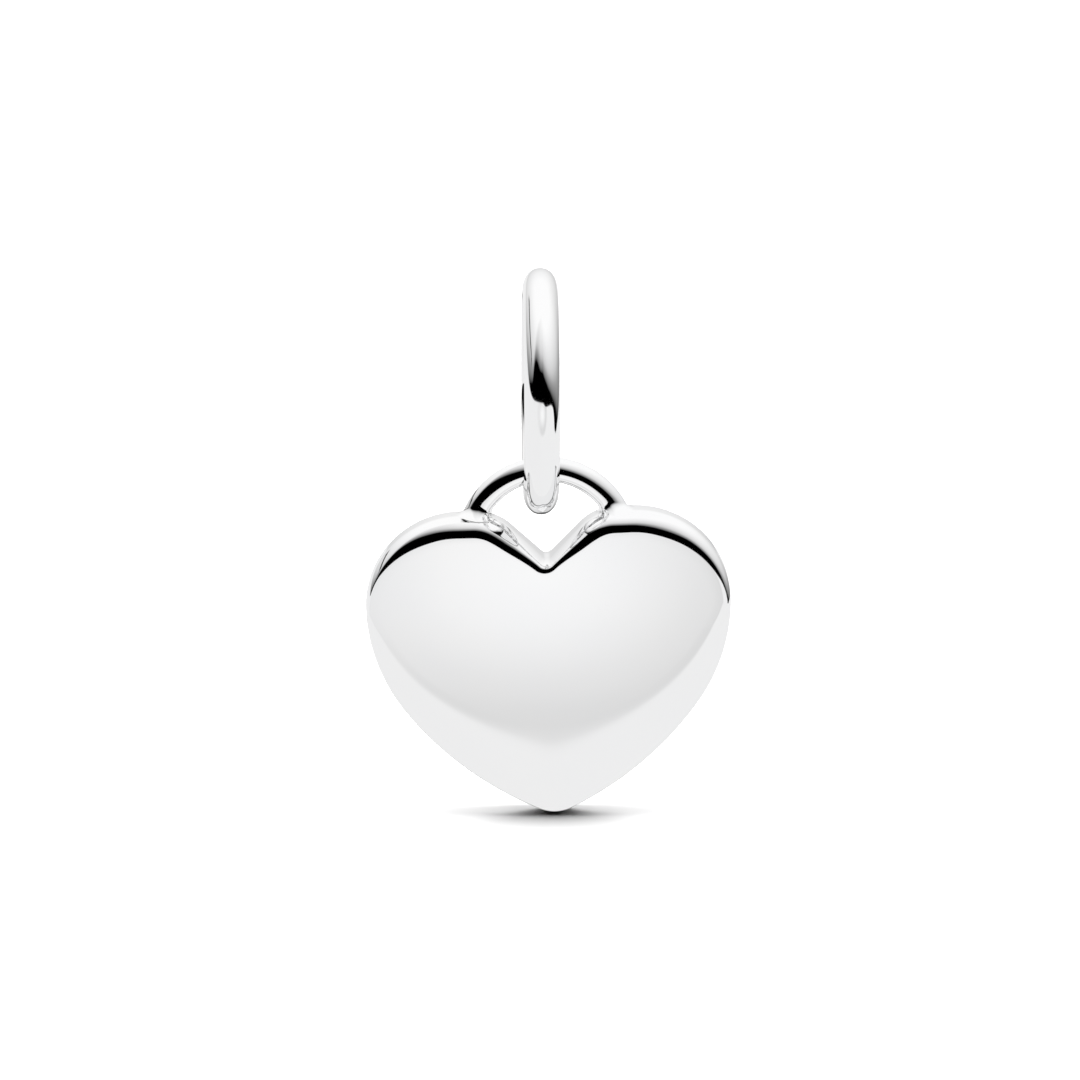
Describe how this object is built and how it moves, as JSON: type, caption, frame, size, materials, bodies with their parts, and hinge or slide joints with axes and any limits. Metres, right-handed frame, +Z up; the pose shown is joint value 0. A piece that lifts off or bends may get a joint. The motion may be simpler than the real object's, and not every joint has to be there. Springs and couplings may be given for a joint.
{
  "type": "heart charm",
  "caption": "Polished silver charm: a puffed heart with a cast eye loop, hanging free on a closed ring bail.",
  "frame": {"origin": "top of the inside of the bail, where the chain or bracelet bears", "axes": "+Z up, the way the charm hangs; the heart's front faces -Y; the ring of the bail stands in the YZ plane, so the chain runs through it along X"},
  "size_m": [0.0119, 0.008, 0.018],
  "materials": {
    "silver": "mirror-polished sterling silver"
  },
  "bodies": {
    "bail": {"bail": "silver"},
    "heart": {"heart": "silver"}
  },
  "joints": [
    {"name": "heart_swing", "type": "hinge", "parent": "bail", "child": "heart", "pos_m": [0, 0, -0.00568], "axis": [1, 0, 0], "range_deg": [-60, 60]}
  ]
}
